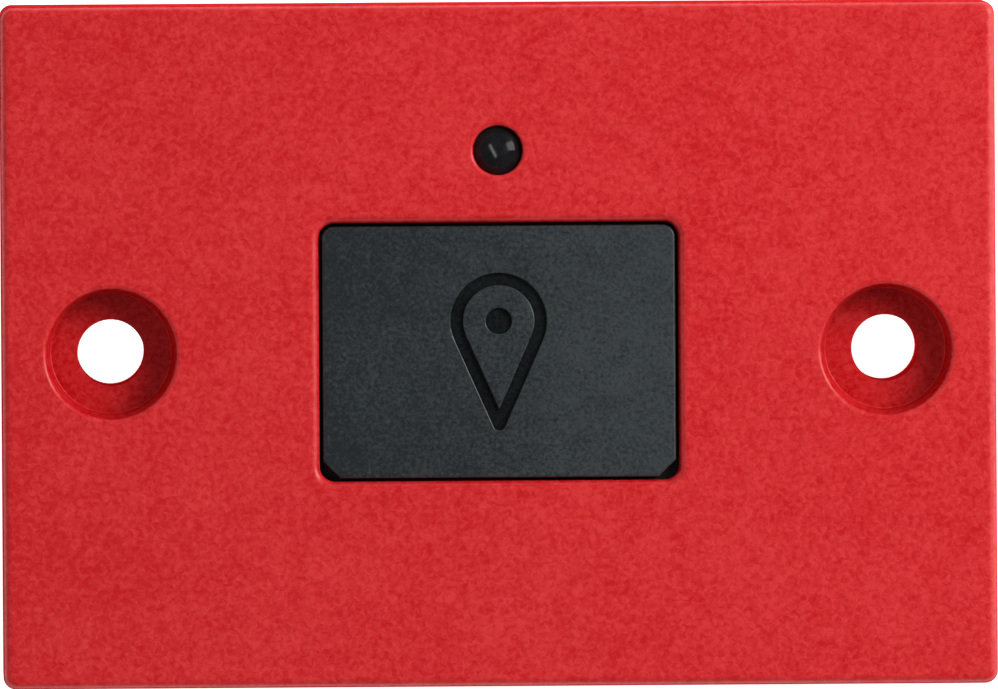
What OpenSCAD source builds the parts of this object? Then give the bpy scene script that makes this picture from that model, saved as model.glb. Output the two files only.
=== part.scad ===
// Bluetooth tracker tag: a flat, sealed tag that is screwed or riveted to what it tracks.
// It lies on its back: +Z comes out of the button face, +X runs along the length, and the
// origin is the middle of the back face. All sizes are in millimetres.

/* [Body] */
// Length of the tag
body_w = 46.2; // [45:0.1:60]
// Width of the tag
body_d = 31.7; // [31:0.1:42]
// Radius of the tag's four corners, seen from the front
corner_r = 0.6; // [0.5:0.1:2]
// Rounding of the front and back edges
edge_r = 0.45; // [0.1:0.05:0.45]
// Chamfer on each side of the line where the two shells meet
parting_chamfer = 0.12; // [0.05:0.01:0.2]
// Wall behind the button face
front_wall = 1.1; // [1:0.05:1.6]
// Wall round the two ends of the tag
side_wall = 1.3; // [1:0.1:1.6]
// Wall that closes the dry compartment and presses on its gasket
seal_wall = 1.8; // [1.6:0.1:2.4]
// Thickness of the rear cover
rear_t = 1.2; // [1.1:0.05:1.8]
// How far the mounting holes, the button and the light lie below the tag's middle line
face_drop = 0.3; // [0:0.05:0.4]

/* [Mounting holes] */
// From a mounting hole's middle to the end of the tag
hole_inset = 5.1; // [4.8:0.1:5.4]
// Diameter of a mounting hole
hole_d = 3.1; // [2.6:0.1:4]
// Diameter of the recess that a screw or rivet head sits in
head_d = 5.7; // [5:0.1:6.1]
// Depth of the head recess
head_depth = 3; // [2.4:0.1:4]
// How much wider the recess is, on each side, where it meets its rim
head_flare = 0.15; // [0:0.01:0.2]
// Height of the flare below the rim
head_flare_h = 1.2; // [0.5:0.1:1.5]
// Rounding between the recess's wall and its floor
head_floor_r = 0.1; // [0.05:0.01:0.3]
// Rounding of the head recess's rim
head_edge_r = 0.25; // [0.1:0.05:0.4]
// Wall round the head recess
boss_wall = 1; // [0.8:0.1:1.4]

/* [Button] */
// Length of the button's face
button_w = 16.4; // [12:0.1:20]
// Width of the button's face
button_d = 11.7; // [8:0.1:13]
// Gap between the button and its window
button_gap = 0.15; // [0.1:0.01:0.3]
// How far the button travels when it is pressed
button_travel = 0.2; // [0.1:0.01:0.24]
// How far the button's face lies below the tag's face
button_sink = 0.2; // [0.1:0.01:0.4]
// Radius of the button's two upper corners
button_corner_r = 0.55; // [0.3:0.05:1]
// Chamfer on the button's two lower corners
button_chamfer = 0.8; // [0.6:0.05:1.2]
// Rounding of the button's edge
button_edge_r = 0.12; // [0.05:0.01:0.2]
// Rounding of the window's rim
window_edge_r = 0.42; // [0.2:0.02:0.6]
// How far the button's flange reaches behind the window's rim
flange_reach = 0.35; // [0.2:0.05:0.6]
// Thickness of the button's flange
flange_t = 0.3; // [0.2:0.05:0.5]
// Thickness of the silicone membrane behind the button
membrane_t = 0.3; // [0.2:0.05:0.5]
// Width of the free strip of membrane that lets the button move
membrane_web = 0.4; // [0.25:0.05:0.6]
// Thickness of the frame that clamps the membrane
retainer_t = 0.3; // [0.2:0.05:0.5]
// Width of the membrane's rim and of the frame on it
rim_w = 0.6; // [0.5:0.05:0.8]

/* [Icon] */
// Width of an engraved stroke
stroke_w = 0.55; // [0.3:0.05:0.8]
// Depth of the engraving
stroke_depth = 0.3; // [0.1:0.05:0.5]
// Rounding of the engraving's rim
stroke_edge_r = 0.08; // [0.02:0.01:0.1]
// Radius of the place sign's round head, to the middle of its stroke
sign_head_r = 1.95; // [1.5:0.05:2.4]
// From the middle of the sign's head to its tip
sign_tip_l = 4.8; // [4:0.1:5.5]
// Diameter of the dot in the sign's head
sign_dot_d = 1.2; // [0.8:0.1:1.6]

/* [Light] */
// Diameter of the light's lens
lens_d = 2.24; // [1.6:0.02:3]
// Gap round the lens
lens_gap = 0.03; // [0.02:0.01:0.08]
// Gap between the lens's flange and the membrane's rim
lens_web = 0.33; // [0.1:0.01:1]
// Height of the lens's dome
lens_dome_h = 0.45; // [0.2:0.05:0.6]
// How far the dome's top lies below the tag's face
lens_sink = 0.05; // [0:0.01:0.3]
// Rounding of the lens hole's rim
lens_edge_r = 0.18; // [0.1:0.02:0.3]
// Width of the sealing ring round the lens
lens_ring_w = 0.55; // [0.4:0.05:0.8]
// Height of the sealing ring round the lens
lens_ring_h = 0.3; // [0.2:0.05:0.4]
// Thickness of the lens's flange
lens_flange_t = 0.4; // [0.3:0.05:0.5]

/* [Board and cell] */
// Thickness of the circuit board
board_t = 0.8; // [0.6:0.1:1]
// Gap between the board and the wall round it
board_gap = 0.2; // [0.1:0.05:0.4]
// Gap between the board and the pins of the membrane's frame
board_clear = 0.1; // [0.1:0.05:1]
// Diameter of the coin cell
cell_d = 20; // [16:0.5:22]
// Thickness of the coin cell
cell_t = 3.2; // [2:0.1:5]
// Thickness of the foam that presses the cell forward
foam_t = 0.25; // [0.2:0.05:0.8]
// Thickness of a cell tab
tab_t = 0.1; // [0.08:0.01:0.15]
// Width of a cell tab
tab_w = 3; // [2:0.5:4]
// Thickness of the insulating film between cell and board
film_t = 0.1; // [0.05:0.01:0.15]

/* [Gasket and screws] */
// Width of the gasket
gasket_w = 0.8; // [0.6:0.05:1]
// Depth of the gasket's groove in the rear cover
gasket_h = 0.6; // [0.4:0.05:0.7]
// Outer diameter of a cover screw's thread
screw_d = 1.6; // [1.4:0.1:2]
// Diameter of a cover screw's head
screw_head_d = 2.8; // [2.4:0.1:3]
// Height of a cover screw's head
screw_head_h = 0.6; // [0.5:0.05:0.7]
// Length of a cover screw's thread under its head
screw_l = 3.8; // [2.6:0.1:4.2]
// From a cover screw's middle to the tag's end
screw_inset_x = 3.5; // [3.2:0.1:3.8]
// From a cover screw's middle to the tag's long edge
screw_inset_y = 3.3; // [3.2:0.1:4]

/* [Hidden] */
$fn = 72;
// How far a cut runs past the face that it opens
over = 0.5;

// Heights, from the back face forward
foam_z = rear_t;
negative_tab_z = foam_z + foam_t;
cell_z = negative_tab_z + tab_t;
positive_tab_z = cell_z + cell_t;
film_z = positive_tab_z + tab_t;
board_z = film_z + film_t;
board_top = board_z + board_t;
stake_t = 0.1;
flange_gap = 0.05;
retainer_z = board_top + board_clear + stake_t;
membrane_z = retainer_z + retainer_t;
flange_z = membrane_z + membrane_t;
flange_top = flange_z + flange_t;
inner_z = flange_top + flange_gap;
body_t = inner_z + front_wall;
wall_mid_z = inner_z + front_wall / 2;

// Mounting bosses and the dry compartment between them
hole_x = body_w / 2 - hole_inset;
head_r = head_d / 2;
mouth_r = head_r + head_flare;
boss_r = mouth_r + boss_wall;
head_floor_z = body_t - head_depth;
boss_merge = 0.3;
seal_out_w = 2 * (hole_x - boss_r + boss_merge);
cavity_w = seal_out_w - 2 * seal_wall;
cavity_d = body_d - 2 * seal_wall;
cavity_r = 0.8;
pocket_w = body_w / 2 - side_wall - seal_out_w / 2;
pocket_d = body_d - 2 * side_wall;
pocket_r = 0.5;

// Gasket, along the middle of the sealing wall
gasket_loop_w = seal_out_w - seal_wall;
gasket_loop_d = body_d - seal_wall;
gasket_loop_r = cavity_r + seal_wall / 2;

// Cover screws
screw_x = body_w / 2 - screw_inset_x;
screw_y = body_d / 2 - screw_inset_y;
screw_boss_r = screw_d / 2 + 0.75;
screw_core_d = screw_d - 0.35;
thread_pitch = 0.4;
screw_head_sink = 0.1;
screw_gap = 0.1;
screw_seat_z = screw_head_sink + screw_head_h;
screw_tip_z = screw_seat_z + screw_l;
pilot_end_z = screw_tip_z + 0.2;
socket_r = screw_head_d * 0.16;
socket_lobe_r = screw_head_d * 0.06;
socket_depth = screw_head_h * 0.7;

// Window, button, membrane and retainer
window_w = button_w + 2 * button_gap;
window_d = button_d + 2 * button_gap;
window_r = button_corner_r + button_gap;
flange_w = window_w + 2 * flange_reach;
flange_d = window_d + 2 * flange_reach;
button_top = body_t - button_sink;
rim_in_w = flange_w + 2 * membrane_web;
rim_in_d = flange_d + 2 * membrane_web;
rim_out_w = rim_in_w + 2 * rim_w;
rim_out_d = rim_in_d + 2 * rim_w;
rim_r = 0.5;

// Staked pins that hold the retainer by its four lugs
lug_r = 0.85;
lug_x = rim_out_w / 2 - lug_r;
lug_y = rim_out_d / 2 + lug_r;
lug_pin_r = 0.4;
lug_stake_r = 0.6;
pin_gap = 0.05;

// Dome switch behind the middle of the button
plunger_t = 0.2;
plunger_r = 0.75;
dome_r = 1.1;
dome_h = membrane_z - board_top - plunger_t;
dome_sheet = 0.06;
switch_w = 3.4;
switch_corner_r = 0.4;
switch_frame_t = membrane_z - board_top - button_travel - flange_gap;

// Lens, and the pocket of its seal
lens_hole_r = lens_d / 2 + lens_gap;
lens_ring_r = lens_d / 2 + lens_ring_w;
lens_pocket_r = lens_ring_r + lens_gap;
lens_y = rim_out_d / 2 + lens_web + lens_ring_r;
lens_top = body_t - lens_sink;
lens_flange_z = inner_z - lens_flange_t;

// Circuit board and the posts that carry it
board_w = cavity_w - 2 * board_gap;
board_d = cavity_d - 2 * board_gap;
board_corner_r = 0.6;
post_inset = 1.2;
post_x = board_w / 2 - post_inset;
post_y = board_d / 2 - post_inset;
post_r = 0.9;
post_pin_r = 0.5;
post_stake_r = 0.75;
post_stake_t = 0.3;

// Sizes of the parts on the board, and the pitch of a row of small ones
small_part = [1, 0.5, 0.5];
resistor_part = [1, 0.5, 0.35];
row_pitch = 0.95;
antenna_part = [5, 2, 0.9];
inductor_part = [2, 1.2, 1];
bulk_part = [3.5, 2.4, 1.7];
led_part = [1.6, 0.8, 0.4];
led_base_h = 0.16;
radio_w = 5;
radio_h = 0.85;
radio_lands = 8;
sensor_w = 2;
sensor_h = 0.75;
sensor_lands = 3;
main_crystal_part = [2, 1.6, 0.5];
clock_crystal_part = [3.2, 1.5, 0.8];

// Where they lie: middle_y is the middle of the strip between the membrane's rim and the
// board's edge, and corner_y is the middle of what the retainer's lugs leave of it
middle_y = (rim_out_d / 2 + board_d / 2) / 2;
corner_y = (lug_y + lug_r + board_d / 2) / 2;
radio_x = -2.6;
antenna_x = -6.6;
antenna_y = board_d / 2 - 1.8;
match_x = antenna_x + antenna_part[0] / 2 + small_part[0] / 2 + 0.5;
crystal_x = 2.4;
crystal_edge_y = board_d / 2 - 0.6;
corner_x = 7.2;
bulk_x = board_w / 2 - 5;
bulk_y = board_d / 2 - 1.7;

// Rear cover: the rib inside the sealing wall, the cradle round the cell, the label's recess
rib_gap = 0.15;
rib_w = 0.8;
rib_h = 0.9;
cradle_gap = 0.15;
cradle_w = 0.7;
cradle_h = 1.4;
cradle_arc = 44;
label_depth = 0.15;
label_margin = 1;
label_w = cavity_w - 2 * label_margin;
label_d = cavity_d - 2 * label_margin;
label_r = 1.2;
label_gap = 0.1;
label_t = 0.1;

// Cell: the can, the cap and the grommet between them, then the layers from the cap forward
sheet_t = 0.25;
grommet_t = 0.3;
cell_r = cell_d / 2;
cell_edge_r = 0.3;
cell_bore_r = cell_r - sheet_t;
cap_r = cell_r - 1.25;
crimp_r = cap_r + grommet_t;
cap_flange_z = cell_z + sheet_t + grommet_t;
cell_roof_z = cell_z + cell_t - sheet_t;
cathode_share = 0.58;
cathode_z = cell_roof_z - (cell_t - 2 * sheet_t) * cathode_share;
separator_z = cathode_z - 0.08;

// Cell tabs: they reach in over the cell as far as tab_in_x, and end in feet on the board
tab_foot = 0.8;
tab_in_x = cell_r - 4;
tab_out_x = cell_r + 0.3;
foam_r = cell_r - 2;

// ---------------------------------------------------------------- shared shapes

// A rectangle with four round corners
module rounded_rect(w, d, r) {
    square([w - 2 * r, d], center = true);
    square([w, d - 2 * r], center = true);
    for (x = [-1, 1], y = [-1, 1])
        translate([x * (w / 2 - r), y * (d / 2 - r)]) circle(r);
}

// An upright block with round corners, from z0 to z1
module rounded_block(w, d, r, z0, z1) {
    translate([0, 0, z0]) linear_extrude(z1 - z0) rounded_rect(w, d, r);
}

// Sweeps a 2D profile round a rounded rectangle. The profile's x is how far outside the
// rectangle it lies, and its y is the height.
module along_rounded_rect(w, d, r) {
    for (s = [0, 180]) {
        rotate([0, 0, s]) translate([w / 2, 0, 0]) rotate([90, 0, 0])
            linear_extrude(d - 2 * r, center = true) children();
        rotate([0, 0, s + 90]) translate([d / 2, 0, 0]) rotate([90, 0, 0])
            linear_extrude(w - 2 * r, center = true) children();
    }
    for (i = [0:3])
        translate([(i % 3 == 0 ? 1 : -1) * (w / 2 - r), (i < 2 ? 1 : -1) * (d / 2 - r), 0])
            rotate([0, 0, 90 * i]) rotate_extrude(angle = 90) translate([r, 0]) children();
}

// What rounding with radius r takes off an outer edge at (0, 0), with the solid at x < 0, y < 0
module edge_profile(r) {
    difference() {
        translate([-r, -r]) square(r + over);
        translate([-r, -r]) circle(r);
    }
}

// The same for the rim of a hole, with the solid at x > 0, y < 0
module rim_profile(r) {
    difference() {
        translate([0, -r]) square(r);
        translate([r, -r]) circle(r);
    }
}

// What a chamfer of size c takes off an outer edge at (0, 0), with the solid at x < 0, y > 0
module chamfer_profile(c) {
    polygon([[-c, 0], [over, over + c], [over, -over], [-c, -over]]);
}

// A round hole with a rounded rim at height z, going down by depth
module rimmed_hole(r, depth, rim_r, z) {
    translate([0, 0, z - depth]) cylinder(r = r, h = depth + over);
    translate([0, 0, z]) rotate_extrude() translate([r, 0]) rim_profile(rim_r);
}

// Moves what belongs to the holes, the button or the light down to their line
module on_face_line() {
    translate([0, -face_drop, 0]) children();
}

// Copies at both ends, or at all four corners
module at_ends(x) {
    for (s = [-1, 1]) translate([s * x, 0, 0]) children();
}

module at_corners(x, y) {
    for (sx = [-1, 1], sy = [-1, 1]) translate([sx * x, sy * y, 0]) children();
}

// A disc from z0 to z1
module disc(r, z0, z1) {
    translate([0, 0, z0]) cylinder(r = r, h = z1 - z0);
}

// A ring from z0 to z1
module ring(r_out, r_in, z0, z1) {
    difference() {
        disc(r_out, z0, z1);
        disc(r_in, z0 - over, z1 + over);
    }
}

// ---------------------------------------------------------------- casing

module front_housing() {
    color("#c8232c") difference() {
        union() {
            difference() {
                rounded_block(body_w, body_d, corner_r, rear_t, body_t);
                translate([0, 0, body_t])
                    along_rounded_rect(body_w, body_d, corner_r) edge_profile(edge_r);
                translate([0, 0, rear_t])
                    along_rounded_rect(body_w, body_d, corner_r) chamfer_profile(parting_chamfer);
                rounded_block(cavity_w, cavity_d, cavity_r, rear_t - over, inner_z);
                end_pockets();
            }
            at_corners(screw_x, screw_y) disc(screw_boss_r, rear_t, wall_mid_z);
            at_corners(post_x, post_y) board_post();
            on_face_line() {
                at_ends(hole_x) disc(boss_r, rear_t, wall_mid_z);
                at_corners(lug_x, lug_y) lug_pin();
            }
        }
        on_face_line() {
            window_cut();
            lens_cut();
            at_ends(hole_x) {
                disc(hole_d / 2, rear_t - over, head_floor_z + over);
                translate([0, 0, body_t]) rotate_extrude() head_recess_profile();
            }
        }
        at_corners(screw_x, screw_y) disc(screw_core_d / 2, rear_t - over, pilot_end_z);
    }
}

// Half of the head recess's section: a straight bore with a rounded floor, a slight flare
// above it, and a rounded rim. Its x is the distance from the hole's axis, and height 0 is
// the tag's face.
module head_recess_profile() {
    difference() {
        polygon([
            [0, -head_depth],
            [head_r, -head_depth],
            [head_r, -head_edge_r - head_flare_h],
            [mouth_r, -head_edge_r],
            [mouth_r, over],
            [0, over]
        ]);
        translate([head_r, -head_depth]) mirror([0, 1]) edge_profile(head_floor_r);
    }
    translate([mouth_r, 0]) rim_profile(head_edge_r);
}

// The hollows outside the sealing wall, at the two ends
module end_pockets() {
    at_ends(seal_out_w / 2 + pocket_w / 2)
        rounded_block(pocket_w, pocket_d, pocket_r, rear_t - over, inner_z);
}

// A shouldered post with a staked pin that the board hangs on
module board_post() {
    disc(post_r, board_top, wall_mid_z);
    disc(post_pin_r, board_z - post_stake_t / 2, board_top + over);
    disc(post_stake_r, board_z - post_stake_t, board_z);
}

// A staked pin for a lug of the membrane's retainer
module lug_pin() {
    disc(lug_pin_r, retainer_z - stake_t / 2, wall_mid_z);
    disc(lug_stake_r, retainer_z - stake_t, retainer_z);
}

module window_cut() {
    rounded_block(window_w, window_d, window_r, inner_z - over, body_t + over);
    translate([0, 0, body_t]) along_rounded_rect(window_w, window_d, window_r) rim_profile(window_edge_r);
}

module lens_cut() {
    translate([0, lens_y, 0]) {
        rimmed_hole(lens_hole_r, front_wall + over, lens_edge_r, body_t);
        disc(lens_pocket_r, inner_z - over, inner_z + lens_ring_h);
    }
}

module rear_cover() {
    color("#bf2029") difference() {
        union() {
            rounded_block(body_w, body_d, corner_r, 0, rear_t);
            difference() {
                rounded_block(cavity_w - 2 * rib_gap, cavity_d - 2 * rib_gap, cavity_r - rib_gap,
                              rear_t / 2, rear_t + rib_h);
                rounded_block(cavity_w - 2 * rib_gap - 2 * rib_w, cavity_d - 2 * rib_gap - 2 * rib_w,
                              0.2, 0, rear_t + rib_h + over);
            }
            cell_cradle();
        }
        rotate([180, 0, 0]) along_rounded_rect(body_w, body_d, corner_r) edge_profile(edge_r);
        translate([0, 0, rear_t]) rotate([180, 0, 0])
            along_rounded_rect(body_w, body_d, corner_r) chamfer_profile(parting_chamfer);
        translate([0, 0, rear_t]) along_rounded_rect(gasket_loop_w, gasket_loop_d, gasket_loop_r)
            translate([-gasket_w / 2, -gasket_h]) square([gasket_w, gasket_h + over]);
        on_face_line() at_ends(hole_x) disc(hole_d / 2, -over, rear_t + over);
        at_corners(screw_x, screw_y) {
            disc(screw_d / 2 + screw_gap, -over, rear_t + over);
            disc(screw_head_d / 2 + screw_gap, -over, screw_seat_z);
        }
        rounded_block(label_w, label_d, label_r, -over, label_depth);
    }
}

// Four curved ribs that keep the cell in the middle and leave its tabs free
module cell_cradle() {
    for (a = [45:90:315]) rotate([0, 0, a - cradle_arc / 2])
        translate([0, 0, rear_t / 2]) rotate_extrude(angle = cradle_arc)
            translate([cell_d / 2 + cradle_gap, 0]) square([cradle_w, rear_t / 2 + cradle_h]);
}

// A self-adhesive label on the floor of its recess
module rear_label() {
    color("#dcdad3") rounded_block(label_w - 2 * label_gap, label_d - 2 * label_gap,
                                   label_r - label_gap, label_depth - label_t, label_depth);
}

module housing_gasket() {
    color("#2b2b2d") translate([0, 0, rear_t])
        along_rounded_rect(gasket_loop_w, gasket_loop_d, gasket_loop_r)
            translate([-gasket_w / 2, -gasket_h]) square([gasket_w, gasket_h]);
}

// Thread-forming screws with a six-lobed socket, driven in from the back
module cover_screws() {
    color("#8d9094") at_corners(screw_x, screw_y) difference() {
        union() {
            disc(screw_head_d / 2, screw_head_sink, screw_seat_z);
            disc(screw_core_d / 2, screw_seat_z - over / 2, screw_tip_z);
            translate([0, 0, screw_seat_z]) thread_ridges();
        }
        translate([0, 0, screw_head_sink - over]) linear_extrude(socket_depth + over) {
            circle(socket_r);
            for (a = [0:60:300]) rotate(a) translate([socket_r, 0]) circle(socket_lobe_r);
        }
    }
}

// The thread as a stack of ridges
module thread_ridges() {
    rotate_extrude() for (z = [thread_pitch / 2:thread_pitch:screw_l - thread_pitch])
        translate([0, z]) polygon([
            [screw_core_d / 4, 0],
            [screw_core_d / 2, 0],
            [screw_d / 2, thread_pitch * 0.3],
            [screw_d / 2, thread_pitch * 0.4],
            [screw_core_d / 2, thread_pitch * 0.7],
            [screw_core_d / 4, thread_pitch * 0.7]
        ]);
}

// ---------------------------------------------------------------- button

module button_cap() {
    color("#2b2f31") on_face_line() difference() {
        union() {
            translate([0, 0, flange_z]) linear_extrude(button_top - flange_z) button_outline();
            rounded_block(flange_w, flange_d, window_r, flange_z, flange_top);
        }
        translate([0, 0, button_top]) {
            button_edge_cut();
            icon_cut();
        }
    }
}

// The button's face: its two lower corners are chamfered
module button_outline() {
    difference() {
        rounded_rect(button_w, button_d, button_corner_r);
        for (s = [-1, 1]) polygon([
            [s * (button_w / 2 - button_chamfer), -button_d / 2],
            [s * button_w / 2, button_chamfer - button_d / 2],
            [s * (button_w / 2 + over), -button_d / 2 - over]
        ]);
    }
}

// Rounds the edge of the button's face
module button_edge_cut() {
    along_rounded_rect(button_w, button_d, button_corner_r) edge_profile(button_edge_r);
    for (s = [0, 1]) mirror([s, 0, 0])
        translate([(button_w - button_chamfer) / 2, (button_chamfer - button_d) / 2, 0])
            rotate([90, 0, -45])
                linear_extrude(2 * button_chamfer, center = true) edge_profile(button_edge_r);
}

// A generic sign for a place: a round head that runs out into a tip, with a dot in the head
module icon_cut() {
    lean = asin(sign_head_r / sign_tip_l);
    side_l = sqrt(pow(sign_tip_l, 2) - pow(sign_head_r, 2));
    translate([0, (sign_tip_l - sign_head_r) / 2, 0]) {
        rotate_extrude() half_groove(sign_dot_d);
        rotate([0, 0, -lean]) rotate_extrude(angle = 180 + 2 * lean)
            translate([sign_head_r, 0]) groove();
        translate([0, -sign_tip_l, 0]) {
            rotate([0, 0, 180 + lean]) rotate_extrude(angle = 180 - 2 * lean) half_groove(stroke_w);
            for (s = [-1, 1]) rotate([0, 0, s * lean]) translate([0, side_l, 0])
                rotate([90, 0, 0]) linear_extrude(side_l) groove();
        }
    }
}

// An engraved stroke's section
module groove() {
    half_groove(stroke_w);
    mirror([1, 0]) half_groove(stroke_w);
}

// Half of an engraved section of width w, from its middle line outwards
module half_groove(w) {
    translate([0, -stroke_depth]) square([w / 2, stroke_depth + over]);
    translate([w / 2, 0]) rim_profile(stroke_edge_r);
}

module button_membrane() {
    color("#6b7073") on_face_line() {
        rounded_block(rim_out_w, rim_out_d, rim_r, membrane_z, flange_z);
        difference() {
            rounded_block(rim_out_w, rim_out_d, rim_r, membrane_z, inner_z);
            rounded_block(rim_in_w, rim_in_d, rim_r, membrane_z - over, inner_z + over);
        }
    }
}

module membrane_retainer() {
    color("#d8d5cc") on_face_line() difference() {
        union() {
            rounded_block(rim_out_w, rim_out_d, rim_r, retainer_z, membrane_z);
            at_corners(lug_x, lug_y) disc(lug_r, retainer_z, membrane_z);
            at_corners(lug_x, lug_y - lug_r)
                translate([-lug_r, -lug_r, retainer_z]) cube([2 * lug_r, 2 * lug_r, retainer_t]);
        }
        rounded_block(rim_in_w, rim_in_d, rim_r, retainer_z - over, membrane_z + over);
        at_corners(lug_x, lug_y) disc(lug_pin_r + pin_gap, retainer_z - over, membrane_z + over);
    }
}

// ---------------------------------------------------------------- dome switch

module switch_plunger() {
    color("#3a3a3c") on_face_line() disc(plunger_r, membrane_z - plunger_t, membrane_z);
}

// A shallow snap dome of thin sheet
module switch_dome() {
    radius = dome_radius(dome_r, dome_h);
    color("#b9bcc0") on_face_line() translate([0, 0, board_top]) rotate_extrude()
        intersection() {
            translate([0, dome_h - radius]) difference() {
                circle(radius);
                circle(radius - dome_sheet);
            }
            square([dome_r, dome_h]);
        }
}

// The radius of a sphere whose cap has radius r and height h
function dome_radius(r, h) = (pow(r, 2) + pow(h, 2)) / (2 * h);

// The frame keeps the dome in its place under a lip
module switch_frame() {
    lip_z = board_top + dome_h / 2;
    color("#1f2022") on_face_line() difference() {
        rounded_block(switch_w, switch_w, switch_corner_r, board_top, board_top + switch_frame_t);
        disc(dome_r + pin_gap, board_top - over, lip_z);
        disc(plunger_r + 2 * pin_gap, board_top, membrane_z);
    }
}

// ---------------------------------------------------------------- light

module led_lens() {
    radius = dome_radius(lens_d / 2, lens_dome_h);
    color("#131516") on_face_line() translate([0, lens_y, 0]) {
        disc(lens_ring_r, lens_flange_z, inner_z);
        disc(lens_d / 2, lens_flange_z, lens_top - lens_dome_h);
        translate([0, 0, lens_top]) rotate_extrude() intersection() {
            translate([0, -radius]) circle(radius);
            translate([0, -lens_dome_h]) square([lens_d / 2, lens_dome_h]);
        }
    }
}

module lens_seal() {
    color("#55585b") on_face_line() translate([0, lens_y, 0])
        ring(lens_ring_r, lens_hole_r, inner_z, inner_z + lens_ring_h);
}

// A diode's window on a base with a land at each end
module status_led() {
    color("#e9e7dc") on_face_line() translate([0, lens_y, board_top]) {
        block([led_part[0], led_part[1], led_base_h]);
        block([led_part[0] * 0.7, led_part[1], led_part[2]]);
    }
}

// ---------------------------------------------------------------- circuit board and its parts

module circuit_board() {
    color("#1d5c3a") difference() {
        rounded_block(board_w, board_d, board_corner_r, board_z, board_top);
        at_corners(post_x, post_y) disc(post_pin_r + pin_gap, board_z - over, board_top + over);
    }
}

// A block that stands on the middle of its foot
module block(size) {
    translate([-size[0] / 2, -size[1] / 2, 0]) cube(size);
}

// A small part with a slightly larger metal end on each side
module two_ended(size) {
    end = size[0] * 0.22;
    lip = 0.02;
    translate([0, 0, lip]) block([size[0] - end, size[1] - 2 * lip, size[2] - 2 * lip]);
    for (s = [-1, 1]) translate([s * (size[0] - end) / 2, 0, 0]) block([end, size[1], size[2]]);
}

// A row of small parts, side by side
module part_row(x, y, count, size, turn = 0) {
    for (i = [0:count - 1]) translate([x, y, board_top]) rotate([0, 0, turn])
        translate([0, (i - (count - 1) / 2) * row_pitch, 0]) two_ended(size);
}

// A leadless chip: a moulded body over a row of lands on each side, with a dimple at pin one
module leadless_chip(w, h, lands) {
    land = [0.4, w / lands * 0.55, 0.16];
    foot_h = land[2] / 2;
    difference() {
        union() {
            translate([0, 0, foot_h]) block([w, w, h - foot_h]);
            for (a = [0:90:270], i = [0:lands - 1]) rotate([0, 0, a])
                translate([(w - land[0]) / 2, (i - (lands - 1) / 2) * w / (lands + 1), 0]) block(land);
        }
        translate([-w / 3, w / 3, h - foot_h]) cylinder(r = w * 0.06, h = over);
    }
}

// A metal can on a ceramic base
module crystal(size) {
    step = 0.12;
    base_h = size[2] * 0.45;
    block([size[0], size[1], base_h]);
    block([size[0] - 2 * step, size[1] - 2 * step, size[2]]);
}

module radio_chip() {
    color("#202124") translate([radio_x, -middle_y, board_top])
        leadless_chip(radio_w, radio_h, radio_lands);
}

module accelerometer() {
    color("#26272a") translate([corner_x, corner_y, board_top])
        leadless_chip(sensor_w, sensor_h, sensor_lands);
}

module chip_antenna() {
    color("#e6e2d6") translate([antenna_x, antenna_y, board_top]) two_ended(antenna_part);
}

module antenna_inductors() {
    color("#9aa7ad") part_row(match_x, antenna_y, 2, small_part);
}

module main_crystal() {
    color("#c9cbcd") translate([crystal_x, main_crystal_part[1] / 2 - middle_y, board_top])
        crystal(main_crystal_part);
}

module clock_crystal() {
    color("#c4c6c9") translate([crystal_x, clock_crystal_part[1] / 2 - crystal_edge_y, board_top])
        crystal(clock_crystal_part);
}

module supply_inductor() {
    color("#6f6a64") translate([-corner_x, -corner_y, board_top]) rotate([0, 0, 90])
        two_ended(inductor_part);
}

module capacitors() {
    color("#b79a74") {
        part_row(corner_x, -corner_y + 0.8, 4, small_part, 90);
        part_row(-corner_x - 1.8, -corner_y, 3, small_part);
        part_row(corner_x + 2, corner_y, 2, small_part);
    }
}

module resistors() {
    color("#2a2b2d") {
        part_row(corner_x, -corner_y - 0.8, 3, resistor_part, 90);
        part_row(crystal_x + 1.2, middle_y, 2, resistor_part, 90);
    }
}

// The capacitor that carries the radio's current peaks, under the board beside the cell
module bulk_capacitor() {
    color("#caa23a") translate([bulk_x, -bulk_y, board_z - bulk_part[2]]) two_ended(bulk_part);
}

// ---------------------------------------------------------------- coin cell and its contacts

module insulating_film() {
    color("#c58b2a") disc(cell_r, film_z, board_z);
}

// A strip welded to the can, with a foot up to the board's underside
module positive_tab() {
    color("#c3c5c7") mirror([1, 0, 0]) {
        tab_strip(tab_in_x, tab_out_x + tab_foot, positive_tab_z, film_z);
        tab_strip(tab_out_x, tab_out_x + tab_foot, positive_tab_z, board_z);
    }
}

// A strip welded to the cap, with a riser beside the cell and a foot under the board
module negative_tab() {
    color("#c3c5c7") {
        tab_strip(tab_in_x, tab_out_x + tab_t, negative_tab_z, cell_z);
        tab_strip(tab_out_x, tab_out_x + tab_t, negative_tab_z, board_z);
        tab_strip(tab_out_x, tab_out_x + tab_foot, board_z - tab_t, board_z);
    }
}

// A piece of a tab's strip between two places along the tag and two heights
module tab_strip(x0, x1, z0, z1) {
    translate([x0, -tab_w / 2, z0]) cube([x1 - x0, tab_w, z1 - z0]);
}

// The foam is cut away where the negative tab crosses it
module cell_foam_pad() {
    color("#3c3d40") difference() {
        disc(foam_r, foam_z, cell_z);
        tab_strip(tab_in_x, cell_r, negative_tab_z, cell_z + over);
    }
}

// The can is the positive pole: its flat side faces the board, and its wall is crimped at the back
module cell_can() {
    color("#c9cbcd") difference() {
        disc(cell_r, cell_z, positive_tab_z);
        translate([0, 0, positive_tab_z]) rotate_extrude()
            translate([cell_r, 0]) edge_profile(cell_edge_r);
        disc(cell_bore_r, cell_z + sheet_t, cell_roof_z);
        disc(crimp_r, cell_z - over, cap_flange_z);
    }
}

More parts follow.
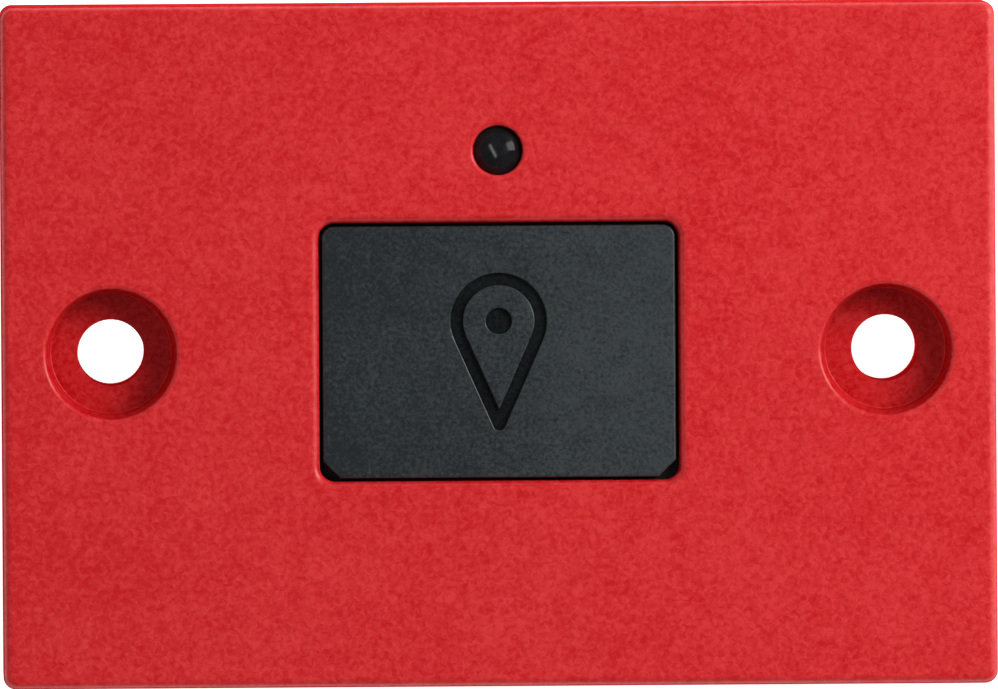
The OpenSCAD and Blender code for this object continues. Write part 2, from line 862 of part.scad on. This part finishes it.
// The grommet lies between the can's crimp and the cap
module cell_grommet() {
    color("#7a4a2a") {
        ring(cell_bore_r, cap_r, cell_z + sheet_t, cap_flange_z);
        ring(crimp_r, cap_r, cell_z, cap_flange_z);
    }
}

// The cap is the negative pole: a shallow dish with a flange behind the grommet
module cell_cap() {
    color("#bfc1c4") difference() {
        union() {
            disc(cap_r, cell_z, cap_flange_z + sheet_t);
            disc(cell_bore_r, cap_flange_z, cap_flange_z + sheet_t);
        }
        disc(cap_r - sheet_t, cell_z + sheet_t, cathode_z);
    }
}

module cell_anode() {
    color("#a9adb3") disc(cap_r - sheet_t, cell_z + sheet_t, separator_z);
}

module cell_separator() {
    color("#e8e6df") disc(cell_bore_r, separator_z, cathode_z);
}

module cell_cathode() {
    color("#2c2c2e") disc(cell_bore_r, cathode_z, cell_roof_z);
}

// ---------------------------------------------------------------- nodes

front_housing();
rear_cover();
rear_label();
housing_gasket();
cover_screws();
button_cap();
button_membrane();
membrane_retainer();
switch_plunger();
switch_dome();
switch_frame();
led_lens();
lens_seal();
status_led();
circuit_board();
radio_chip();
chip_antenna();
antenna_inductors();
main_crystal();
clock_crystal();
accelerometer();
supply_inductor();
capacitors();
resistors();
bulk_capacitor();
insulating_film();
positive_tab();
negative_tab();
cell_foam_pad();
cell_can();
cell_cathode();
cell_separator();
cell_anode();
cell_grommet();
cell_cap();
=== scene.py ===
import math

import bpy
from mathutils import Matrix, Vector


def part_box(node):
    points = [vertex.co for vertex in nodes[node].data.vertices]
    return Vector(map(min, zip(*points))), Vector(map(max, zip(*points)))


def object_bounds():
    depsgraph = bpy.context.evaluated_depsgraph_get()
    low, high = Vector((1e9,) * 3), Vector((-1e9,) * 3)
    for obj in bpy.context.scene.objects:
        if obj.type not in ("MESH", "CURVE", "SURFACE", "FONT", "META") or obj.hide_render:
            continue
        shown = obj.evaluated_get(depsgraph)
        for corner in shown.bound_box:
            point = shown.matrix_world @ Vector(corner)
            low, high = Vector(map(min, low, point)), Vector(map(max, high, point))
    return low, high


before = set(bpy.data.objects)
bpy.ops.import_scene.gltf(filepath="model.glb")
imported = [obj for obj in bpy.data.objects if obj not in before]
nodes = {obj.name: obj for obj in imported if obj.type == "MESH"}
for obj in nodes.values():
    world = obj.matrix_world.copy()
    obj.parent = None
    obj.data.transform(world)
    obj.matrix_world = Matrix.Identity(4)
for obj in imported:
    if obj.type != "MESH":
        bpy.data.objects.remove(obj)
cad_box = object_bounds()

MM = 0.001
AXIS_X, AXIS_Y = 0, 1
WHITE = (1.0, 1.0, 1.0, 1.0)

low, high = cad_box
TOP = high.z
FACE = Vector(((low.x + high.x) / 2, (low.y + high.y) / 2, TOP))


# ---------------------------------------------------------------- material helpers

# Sockets of a Mix node that mixes colours
MIX_FACTOR, MIX_A, MIX_B, MIX_RESULT = 0, 6, 7, 2

# Most values of a noise texture lie between these two
NOISE_ENDS = (0.3, 0.7)

# Noise with crisp small detail
CRISP = {"detail": 3.0, "rough": 0.6}


class Mat:
    """A node material with short ways to add what most of them need."""

    def __init__(self, name, metal=0.0, spec=0.5):
        self.mat = bpy.data.materials.new(name)
        self.mat.use_nodes = True
        self.tree = self.mat.node_tree
        self.tree.nodes.clear()
        out = self.add("ShaderNodeOutputMaterial")
        self.bsdf = self.add("ShaderNodeBsdfPrincipled")
        self.link(self.bsdf.outputs["BSDF"], out.inputs["Surface"])
        self.set("Metallic", metal)
        self.set("Specular IOR Level", spec)
        self.place = self.add("ShaderNodeTexCoord").outputs["Object"]

    def add(self, kind, **props):
        node = self.tree.nodes.new(kind)
        for key, value in props.items():
            setattr(node, key, value)
        return node

    def link(self, a, b):
        self.tree.links.new(a, b)

    def set(self, socket, value):
        self.bsdf.inputs[socket].default_value = value

    def split(self, vector):
        """The parts of a vector, by axis name or number."""
        node = self.add("ShaderNodeSeparateXYZ")
        self.link(vector, node.inputs["Vector"])
        return node.outputs

    def stretch(self, x, y, z):
        """Object coordinates, scaled along each axis."""
        node = self.add("ShaderNodeMapping")
        node.inputs["Scale"].default_value = (x, y, z)
        self.link(self.place, node.inputs["Vector"])
        return node.outputs["Vector"]

    def noise(self, size_mm, detail=2.0, rough=0.5, distortion=0.0, vector=None):
        node = self.add("ShaderNodeTexNoise")
        node.inputs["Scale"].default_value = 1 / (size_mm * MM)
        node.inputs["Detail"].default_value = detail
        node.inputs["Roughness"].default_value = rough
        node.inputs["Distortion"].default_value = distortion
        self.link(vector or self.place, node.inputs["Vector"])
        return node.outputs["Fac"]

    def cells(self, size_mm):
        """Distance to the nearest of many points, one in each cell, in cell sizes."""
        node = self.add("ShaderNodeTexVoronoi")
        node.inputs["Scale"].default_value = 1 / (size_mm * MM)
        self.link(self.place, node.inputs["Vector"])
        return node.outputs["Distance"]

    def math(self, kind, *values):
        node = self.add("ShaderNodeMath", operation=kind)
        for socket, value in zip(node.inputs, values):
            if isinstance(value, (int, float)):
                socket.default_value = value
            else:
                self.link(value, socket)
        return node.outputs["Value"]

    def total(self, first, *others):
        for other in others:
            first = self.math("ADD", first, other)
        return first

    def blend(self, a, b, share):
        """Two values added up, the first with this share and the second with the rest."""
        return self.total(self.math("MULTIPLY", a, share), self.math("MULTIPLY", b, 1 - share))

    def span(self, value, low_in, high_in, low_out, high_out):
        """Goes from low_out to high_out as value passes from low_in to high_in, and no further."""
        node = self.add("ShaderNodeMapRange")
        for key, number in zip(
            ("From Min", "From Max", "To Min", "To Max"), (low_in, high_in, low_out, high_out)
        ):
            node.inputs[key].default_value = number
        self.link(value, node.inputs["Value"])
        return node.outputs["Result"]

    def mottle(self, value, dark, light, spread=0.2):
        """Goes from dark to light as value passes from 0.5 - spread to 0.5 + spread."""
        node = self.add("ShaderNodeValToRGB")
        ends = ((0.5 - spread, dark), (0.5 + spread, light))
        for element, (where, colour) in zip(node.color_ramp.elements, ends):
            element.position = where
            element.color = (*colour, 1.0)
        self.link(value, node.inputs["Fac"])
        return node.outputs["Color"]

    def mix(self, fac, a, b, kind="MIX"):
        node = self.add("ShaderNodeMix", data_type="RGBA", blend_type=kind)
        for index, value in ((MIX_FACTOR, fac), (MIX_A, a), (MIX_B, b)):
            socket = node.inputs[index]
            if isinstance(value, (int, float)):
                socket.default_value = value
            elif isinstance(value, tuple):
                socket.default_value = (*value, 1.0)
            else:
                self.link(value, socket)
        return node.outputs[MIX_RESULT]

    def flatness(self, steep, flat):
        """1 on faces that look along Z, falling to 0 on the roundings that lead away from them.
        Both limits are the Z part of the surface's normal."""
        normal = self.add("ShaderNodeTexCoord").outputs["Normal"]
        return self.span(self.math("ABSOLUTE", self.split(normal)["Z"]), steep, flat, 0.0, 1.0)

    def bump(self, height, depth_mm, strength=None):
        node = self.add("ShaderNodeBump")
        node.inputs["Distance"].default_value = depth_mm * MM
        if strength is not None:
            self.link(strength, node.inputs["Strength"])
        self.link(height, node.inputs["Height"])
        self.link(node.outputs["Normal"], self.bsdf.inputs["Normal"])

    def colour(self, value):
        self.link(value, self.bsdf.inputs["Base Color"])

    def rough(self, value, smoothest, roughest, ends=NOISE_ENDS):
        """Roughness that goes from smoothest to roughest as value passes from end to end."""
        self.link(self.span(value, *ends, smoothest, roughest), self.bsdf.inputs["Roughness"])


def shade(colour, factor):
    return tuple(max(0.0, min(1.0, c * factor)) for c in colour)


# ---------------------------------------------------------------- kinds of material

# Moulded plastic: what each noise adds to the mottling, the noises' sizes, and how much of the
# bump is grain and how much fine grain
GRAIN_SHARE, PATCH_SHARE, CLOUD_SHARE = 0.66, 0.22, 0.12
PATCH_MM, CLOUD_MM = 1.1, 6.5
FINE_PER_GRAIN = 0.4
CLOUD_ENDS = (0.35, 0.65)
GRAIN_IN_BUMP = 0.75

# Specks of dust: one in each cell, fading out at this part of the cell's size, and this strong
DUST = (0.62, 0.58, 0.55)
SPECK_CELL_MM, SPECK_REACH, SPECK_STRENGTH = 1.1, 0.03, 0.25

# Z parts of the normal where a wall turns into a rounding, and a rounding into a level face
WALL_TO_ROUNDING = (0.45, 0.8)
ROUNDING_TO_FACE = (0.86, 0.99)

# Roundings mirror this many times as much as level faces, and are this much less rough. The
# rest of the roughness follows the fine grain.
ROUNDING_SHINE = 3.6
ROUNDING_POLISH = 0.18
FACE_IN_ROUGHNESS = 0.8

# What sunk faces keep of their shine, and the height over which a face turns into a sunk one
SUNK_SHINE = 0.3
SUNK_FADE = 0.05 * MM

# Bare metal: the stains' size, the darkest and lightest tone, the roughness's swing and the
# lines' depth
STAIN_MM = 2.2
STAIN_DARK, STAIN_LIGHT = 0.84, 1.08
METAL_SMOOTHER, METAL_ROUGHER = 0.08, 0.1
METAL_DEPTH_MM = 0.002

# Plain bodies: the patches' size in grains, the grain's share, and the roughness's swing
PATCH_PER_GRAIN = 14
GRAIN_IN_BODY = 0.6
BODY_SWING = 0.06

# Tinned ends: each end's share of the length, and how far the tin stops short of it
TIN = (0.66, 0.66, 0.65)
TIN_SHARE = 0.22
TIN_GAP = 0.01 * MM
TIN_GRAIN_MM, TIN_DEPTH_MM = 0.12, 0.004

# Circuit board: the weave's scale and its share of the mottling
WEAVE_SCALE = 700.0
WEAVE_SHARE = 0.35


def eroded_plastic(name, tones, rough, spec, grain_mm, depth_mm, painted_sheen, sunk, sunk_painted_shade):
    """Moulded plastic with the soft grain of a spark-eroded mould and a few specks of dust. Its
    colour is mottled between its tones, dark and light, and painted paler towards +X by a given
    share, a painted sheen of the light from that side. Its roundings are smooth and its upright
    walls dull. Level faces below the height sunk are duller too, and painted darker by a given
    factor, painted shade as in a shadowed recess."""
    m = Mat(name)
    place = m.split(m.place)
    grain = m.noise(grain_mm, detail=3.0, rough=0.55, distortion=0.6)
    fine = m.noise(grain_mm * FINE_PER_GRAIN, rough=0.6)
    patches = m.noise(PATCH_MM, **CRISP, distortion=0.4)
    clouds = m.noise(CLOUD_MM)
    level = m.total(
        m.span(grain, *NOISE_ENDS, 0.0, GRAIN_SHARE),
        m.span(patches, *NOISE_ENDS, 0.0, PATCH_SHARE),
        m.span(clouds, *CLOUD_ENDS, 0.0, CLOUD_SHARE),
        # Painted sheen: paler towards +X and darker towards -X, as if the light fell brighter from +X
        m.span(place["X"], low.x, high.x, -painted_sheen, painted_sheen),
    )
    body = m.mottle(level, *tones, spread=0.3)
    specks = m.span(m.cells(SPECK_CELL_MM), 0.0, SPECK_REACH, SPECK_STRENGTH, 0.0)
    body = m.mix(specks, body, DUST)
    upward = m.flatness(*WALL_TO_ROUNDING)
    flat = m.flatness(*ROUNDING_TO_FACE)
    sunk_shaded = m.math("MULTIPLY", m.span(place["Z"], sunk - SUNK_FADE, sunk, 1.0, 0.0), flat)
    # Painted shade: level faces below the height sunk, the floors of the recesses and of the engraved
    # sign, are painted darker by the given factor
    m.colour(m.mix(1.0, body, m.span(sunk_shaded, 0.0, 1.0, 1.0, sunk_painted_shade), "MULTIPLY"))
    # 0 on walls, ROUNDING_SHINE on roundings and 1 on level faces
    shine = m.math(
        "SUBTRACT",
        m.math("MULTIPLY", upward, ROUNDING_SHINE),
        m.math("MULTIPLY", flat, ROUNDING_SHINE - 1),
    )
    shine = m.math("MULTIPLY", shine, m.span(sunk_shaded, 0.0, 1.0, spec, spec * SUNK_SHINE))
    m.link(shine, m.bsdf.inputs["Specular IOR Level"])
    m.rough(m.blend(flat, fine, FACE_IN_ROUGHNESS), rough - ROUNDING_POLISH, rough, ends=(0.1, 0.9))
    m.bump(m.blend(grain, fine, GRAIN_IN_BUMP), depth_mm, flat)
    return m.mat


def metal(name, colour, rough, grain_mm=0.12, stretch=(1, 14, 14)):
    """Sheet or drawn metal: faint stains, and fine lines along the axes that have the smallest
    factor in stretch."""
    m = Mat(name, metal=1.0)
    lines = m.noise(grain_mm, **CRISP, vector=m.stretch(*stretch))
    stains = m.noise(STAIN_MM, **CRISP)
    level = m.blend(lines, stains, 0.5)
    m.colour(m.mottle(level, shade(colour, STAIN_DARK), shade(colour, STAIN_LIGHT)))
    m.rough(lines, rough - METAL_SMOOTHER, rough + METAL_ROUGHER)
    m.bump(lines, METAL_DEPTH_MM)
    return m.mat


def plain_body(name, colour, rough, grain_mm=0.1, depth_mm=0.004, swing=0.12):
    """Moulded, fired or pressed matter with a fine even grain, darker and lighter by swing."""
    m = Mat(name, spec=0.4)
    grain = m.noise(grain_mm, **CRISP)
    patches = m.noise(grain_mm * PATCH_PER_GRAIN)
    level = m.blend(grain, patches, GRAIN_IN_BODY)
    m.colour(m.mottle(level, shade(colour, 1 - swing), shade(colour, 1 + swing), spread=0.25))
    m.rough(grain, rough - BODY_SWING, rough + BODY_SWING)
    m.bump(grain, depth_mm)
    return m.mat


def tinned_ends(name, colour, node, axis):
    """A moulded or fired part whose two ends, along one axis, are tinned metal."""
    m = Mat(name, spec=0.45)
    start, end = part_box(node)
    middle = (start[axis] + end[axis]) / 2
    reach = (end[axis] - start[axis]) / 2
    offset = m.math("ABSOLUTE", m.math("SUBTRACT", m.split(m.place)[axis], middle))
    tinned = m.math("GREATER_THAN", offset, reach * (1 - 2 * TIN_SHARE) + TIN_GAP)
    grain = m.noise(TIN_GRAIN_MM, detail=3.0)
    body = m.mottle(grain, shade(colour, 0.88), shade(colour, 1.1))
    m.colour(m.mix(tinned, body, TIN))
    m.link(tinned, m.bsdf.inputs["Metallic"])
    m.rough(grain, 0.34, 0.5)
    m.bump(grain, TIN_DEPTH_MM)
    return m.mat


def lens_material():
    """Smoked clear plastic over black, polished, with the faintest haze."""
    m = Mat("smoked_lens", spec=0.4)
    haze = m.noise(0.5)
    m.colour(m.mottle(haze, (0.006, 0.006, 0.007), (0.012, 0.013, 0.015)))
    m.rough(haze, 0.12, 0.18)
    m.bump(haze, depth_mm=0.0006)
    return m.mat


def label_material():
    """Matt polyester film with a printed frame, a red band and blank lines to write on."""
    frame_inset, frame_half_width = 1.2 * MM, 0.14 * MM
    line_pitch, line_half_width, line_margin = 3.6 * MM, 0.07 * MM, 2.6 * MM
    band_margin = 1.9 * MM
    lines_top, band_bottom = 0.45, 0.55

    m = Mat("label_film", spec=0.4)
    place = m.split(m.place)
    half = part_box("rear_label")[1]
    from_x = m.math("SUBTRACT", half.x, m.math("ABSOLUTE", place["X"]))
    from_y = m.math("SUBTRACT", half.y, m.math("ABSOLUTE", place["Y"]))
    inset = m.math("MINIMUM", from_x, from_y)
    frame_line = m.math("COMPARE", inset, frame_inset, frame_half_width)
    phase = m.math("PINGPONG", m.math("ADD", place["Y"], line_pitch / 2), line_pitch / 2)
    lined = m.math(
        "MULTIPLY",
        m.math("GREATER_THAN", inset, line_margin),
        m.math("LESS_THAN", place["Y"], half.y * lines_top),
    )
    write_line = m.math("MULTIPLY", m.math("LESS_THAN", phase, line_half_width), lined)
    band = m.math(
        "MULTIPLY",
        m.math("GREATER_THAN", place["Y"], half.y * band_bottom),
        m.math("GREATER_THAN", inset, band_margin),
    )
    fibre = m.noise(0.18, detail=3.0)
    film = m.mottle(fibre, (0.66, 0.65, 0.61), (0.76, 0.75, 0.71))
    printed = m.mix(m.math("MAXIMUM", frame_line, write_line), film, (0.05, 0.05, 0.052))
    m.colour(m.mix(band, printed, (0.5, 0.02, 0.025)))
    m.rough(fibre, 0.44, 0.58)
    m.bump(fibre, depth_mm=0.006)
    return m.mat


def board_material():
    """Green solder mask over a fine glass weave."""
    m = Mat("solder_mask")
    m.set("Roughness", 0.32)
    warp = m.add("ShaderNodeTexWave", wave_type="BANDS", bands_direction="X")
    weft = m.add("ShaderNodeTexWave", wave_type="BANDS", bands_direction="Y")
    for wave in (warp, weft):
        wave.inputs["Scale"].default_value = WEAVE_SCALE
        wave.inputs["Distortion"].default_value = 0.6
        m.link(m.place, wave.inputs["Vector"])
    weave = m.math("MULTIPLY", warp.outputs["Fac"], weft.outputs["Fac"])
    level = m.blend(weave, m.noise(3.0), WEAVE_SHARE)
    m.colour(m.mottle(level, (0.008, 0.07, 0.03), (0.02, 0.15, 0.065), spread=0.3))
    m.bump(weave, depth_mm=0.006)
    return m.mat


# ---------------------------------------------------------------- materials of the CAD nodes

RED = (0.56, 0.004, 0.008), (0.71, 0.034, 0.037)
GREY = (0.009, 0.0135, 0.016), (0.039, 0.0475, 0.0512)

# Heights half way down the screw heads' recesses, and between the button's face and the floor
# # of its engraved sign. Level faces below them are painted darker: painted shade.
RECESS_HEIGHT = TOP - 1.5 * MM
SIGN_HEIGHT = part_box("button_cap")[1].z - 0.1 * MM

# metal and plain_body take a colour and a roughness, then the grain's size in mm where it isn't
# the usual one; plain_body also takes the grain's depth in mm.
materials = {
    "front_housing": eroded_plastic(
        "red_case_front", RED, rough=0.46, spec=0.28, grain_mm=0.26, depth_mm=0.055, painted_sheen=0.06,
        sunk=RECESS_HEIGHT, sunk_painted_shade=0.78,
    ),
    "rear_cover": eroded_plastic(
        "red_case_rear", RED, rough=0.48, spec=0.28, grain_mm=0.28, depth_mm=0.06, painted_sheen=0.06,
        sunk=low.z, sunk_painted_shade=1.0,
    ),
    "button_cap": eroded_plastic(
        "black_button", GREY, rough=0.46, spec=0.3, grain_mm=0.17, depth_mm=0.045, painted_sheen=0.6,
        sunk=SIGN_HEIGHT, sunk_painted_shade=0.25,
    ),
    "rear_label": label_material(),
    "housing_gasket": plain_body("gasket_silicone", (0.03, 0.03, 0.032), 0.7, 0.15, 0.005),
    "cover_screws": metal("screw_steel", (0.55, 0.55, 0.56), 0.3, 0.1, stretch=(1, 1, 6)),
    "button_membrane": plain_body("membrane_silicone", (0.2, 0.21, 0.22), 0.62, 0.2),
    "membrane_retainer": plain_body("retainer_plastic", (0.62, 0.6, 0.54), 0.5, 0.2),
    "switch_plunger": plain_body("plunger_rubber", (0.04, 0.04, 0.042), 0.6),
    "switch_dome": metal("dome_steel", (0.62, 0.62, 0.63), 0.22, 0.08),
    "switch_frame": plain_body("switch_plastic", (0.02, 0.02, 0.021), 0.45),
    "led_lens": lens_material(),
    "lens_seal": plain_body("seal_silicone", (0.1, 0.1, 0.105), 0.65),
    "status_led": plain_body("led_resin", (0.8, 0.78, 0.66), 0.25, swing=0.05),
    "circuit_board": board_material(),
    "radio_chip": plain_body("chip_epoxy", (0.022, 0.022, 0.023), 0.55, 0.06),
    "accelerometer": plain_body("sensor_epoxy", (0.028, 0.028, 0.03), 0.55, 0.06),
    "chip_antenna": tinned_ends("antenna_ceramic", (0.78, 0.75, 0.66), "chip_antenna", AXIS_X),
    "antenna_inductors": plain_body("inductor_glass", (0.28, 0.36, 0.4), 0.35, 0.08),
    "main_crystal": metal("crystal_lid", (0.62, 0.62, 0.61), 0.3),
    "clock_crystal": metal("clock_lid", (0.6, 0.6, 0.59), 0.32),
    "supply_inductor": tinned_ends("ferrite", (0.13, 0.125, 0.12), "supply_inductor", AXIS_Y),
    "capacitors": plain_body("capacitor_ceramic", (0.42, 0.29, 0.17), 0.42, 0.08),
    "resistors": plain_body("resistor_glaze", (0.02, 0.02, 0.023), 0.3, 0.08),
    "bulk_capacitor": tinned_ends("tantalum_epoxy", (0.62, 0.36, 0.05), "bulk_capacitor", AXIS_X),
    "insulating_film": plain_body("amber_film", (0.5, 0.22, 0.02), 0.25, 0.8, 0.002, swing=0.1),
    "positive_tab": metal("tab_nickel", (0.62, 0.6, 0.56), 0.33),
    "negative_tab": metal("tab_nickel_b", (0.62, 0.6, 0.56), 0.33),
    "cell_foam_pad": plain_body("closed_cell_foam", (0.045, 0.045, 0.05), 0.85, 0.25, 0.05, swing=0.3),
    "cell_can": metal("cell_steel", (0.64, 0.64, 0.64), 0.26, stretch=(1, 8, 8)),
    "cell_cap": metal("cell_cap_steel", (0.6, 0.6, 0.6), 0.3, stretch=(1, 8, 8)),
    "cell_cathode": plain_body("pressed_powder", (0.02, 0.02, 0.021), 0.85, 0.1, 0.02, swing=0.3),
    "cell_separator": plain_body("non_woven", (0.8, 0.79, 0.74), 0.85, 0.12, 0.02, swing=0.08),
    "cell_anode": metal("lithium_foil", (0.56, 0.57, 0.6), 0.5),
    "cell_grommet": plain_body("grommet_plastic", (0.2, 0.08, 0.03), 0.5),
}

for name, obj in nodes.items():
    obj.data.materials.clear()
    obj.data.materials.append(materials[name])

# ---------------------------------------------------------------- floor

# The floor is a pale light table: the part of it under the tag glows enough to show white
# through the mounting holes.
FLOOR_HALF = 0.8
FLOOR_GAP = 0.2 * MM
FLOOR_DARK, FLOOR_LIGHT = (0.58, 0.58, 0.58), (0.62, 0.62, 0.62)
TABLE_GLOW, HOLE_GLOW = 0.95, 1.05
HOLE_GLOW_INSET = 2 * MM


def floor_material():
    """Pale matt table, which glows a little more under the tag than around it."""
    m = Mat("pale_floor", spec=0.2)
    m.set("Roughness", 0.8)
    m.colour(m.mottle(m.noise(60.0), FLOOR_DARK, FLOOR_LIGHT))
    place = m.split(m.place)
    under_x = m.math("LESS_THAN", m.math("ABSOLUTE", place["X"]), high.x - HOLE_GLOW_INSET)
    under_y = m.math("LESS_THAN", m.math("ABSOLUTE", place["Y"]), high.y - HOLE_GLOW_INSET)
    glow = m.span(m.math("MULTIPLY", under_x, under_y), 0.0, 1.0, TABLE_GLOW, HOLE_GLOW)
    m.set("Emission Color", WHITE)
    m.link(glow, m.bsdf.inputs["Emission Strength"])
    return m.mat


corners = [(x * FLOOR_HALF, y * FLOOR_HALF, 0) for x, y in ((-1, -1), (1, -1), (1, 1), (-1, 1))]
floor_mesh = bpy.data.meshes.new("floor")
floor_mesh.from_pydata(corners, [], [(0, 1, 2, 3)])
floor_mesh.materials.append(floor_material())
floor = bpy.data.objects.new("floor", floor_mesh)
bpy.context.scene.collection.objects.link(floor)
floor.location.z = low.z - FLOOR_GAP

# ---------------------------------------------------------------- light


def soft_light(name, tilt, azimuth, distance, size, share, lean=0.0, colour=(1, 1, 1), mirrored=True):
    """A rectangular soft light aimed at the face. Tilt is from the vertical and azimuth from +X, in
    degrees; lean turns it about its own axis. Share is the brightness that it alone would give a
    white face that looks straight up. A light that isn't mirrored leaves no highlights."""
    tilt, azimuth = math.radians(tilt), math.radians(azimuth)
    way = Vector((math.sin(tilt) * math.cos(azimuth), math.sin(tilt) * math.sin(azimuth), math.cos(tilt)))
    data = bpy.data.lights.new(name, "AREA")
    data.shape = "RECTANGLE"
    data.size, data.size_y = size
    data.energy = share * (math.pi * distance) ** 2 / math.cos(tilt)
    data.color = colour
    obj = bpy.data.objects.new(name, data)
    bpy.context.scene.collection.objects.link(obj)
    aim = way.to_track_quat("Z", "Y").to_matrix().to_4x4()
    obj.matrix_world = Matrix.Translation(FACE + way * distance) @ Matrix.Rotation(
        math.radians(lean), 4, way
    ) @ aim
    obj.visible_glossy = mirrored


WARM, WARMER = (1.0, 0.985, 0.97), (1.0, 0.97, 0.94)
soft_light(
    "key", tilt=38, azimuth=34, distance=0.36, size=(0.17, 0.17), share=0.58, colour=WARM, mirrored=False
)
soft_light("side", tilt=58, azimuth=18, distance=0.5, size=(0.24, 0.42), share=0.19, colour=WARMER)
soft_light("strip", tilt=15.8, azimuth=183, distance=0.3, size=(0.26, 0.04), share=0.15, lean=23)

# Pale walls round the tag, and a dimmer ceiling. The brightness falls from one to the other
# between two heights, each the sine of an angle above level.
WALL_LIGHT, CEILING_LIGHT = 0.5, 0.09
WALL_HEIGHT, CEILING_HEIGHT = 0.05, 0.5
world = bpy.data.worlds.new("studio")
world.use_nodes = True
tree = world.node_tree
heading = tree.nodes.new("ShaderNodeTexCoord").outputs["Generated"]
heights = tree.nodes.new("ShaderNodeSeparateXYZ")
tree.links.new(heading, heights.inputs["Vector"])
rise = tree.nodes.new("ShaderNodeMapRange")
rise.inputs["From Min"].default_value = WALL_HEIGHT
rise.inputs["From Max"].default_value = CEILING_HEIGHT
rise.inputs["To Min"].default_value = WALL_LIGHT
rise.inputs["To Max"].default_value = CEILING_LIGHT
tree.links.new(heights.outputs["Z"], rise.inputs["Value"])
backdrop = tree.nodes["Background"]
backdrop.inputs["Color"].default_value = WHITE
tree.links.new(rise.outputs["Result"], backdrop.inputs["Strength"])
bpy.context.scene.world = world
bpy.context.scene.view_settings.view_transform = "Standard"

# ---------------------------------------------------------------- camera

# It looks down at the face from a little towards -X and +Y. In the face's plane it sees
# SEEN_WIDTH from side to side.
SEEN_WIDTH = 46.33 * MM
DISTANCE = 1.4
TILT_X = math.radians(1.05)
TILT_Y = math.radians(1.45)
ROLL = math.radians(0.36)
TARGET = Vector((0, 0.04 * MM, TOP))
camera_data = bpy.data.cameras.new("camera")
camera_data.sensor_width = 36.0
camera_data.lens = camera_data.sensor_width * DISTANCE / SEEN_WIDTH
camera_data.clip_start = 0.01
camera_data.clip_end = 10.0
camera = bpy.data.objects.new("camera", camera_data)
bpy.context.scene.collection.objects.link(camera)
back = Vector((-math.tan(TILT_X), math.tan(TILT_Y), 1.0)).normalized()
right = Vector((0, 1, 0)).cross(back).normalized()
up = back.cross(right)
turn = Matrix.Rotation(-ROLL, 3, back)
stance = Matrix((turn @ right, turn @ up, back)).transposed().to_4x4()
stance.translation = TARGET + back * DISTANCE
camera.matrix_world = stance
bpy.context.scene.camera = camera
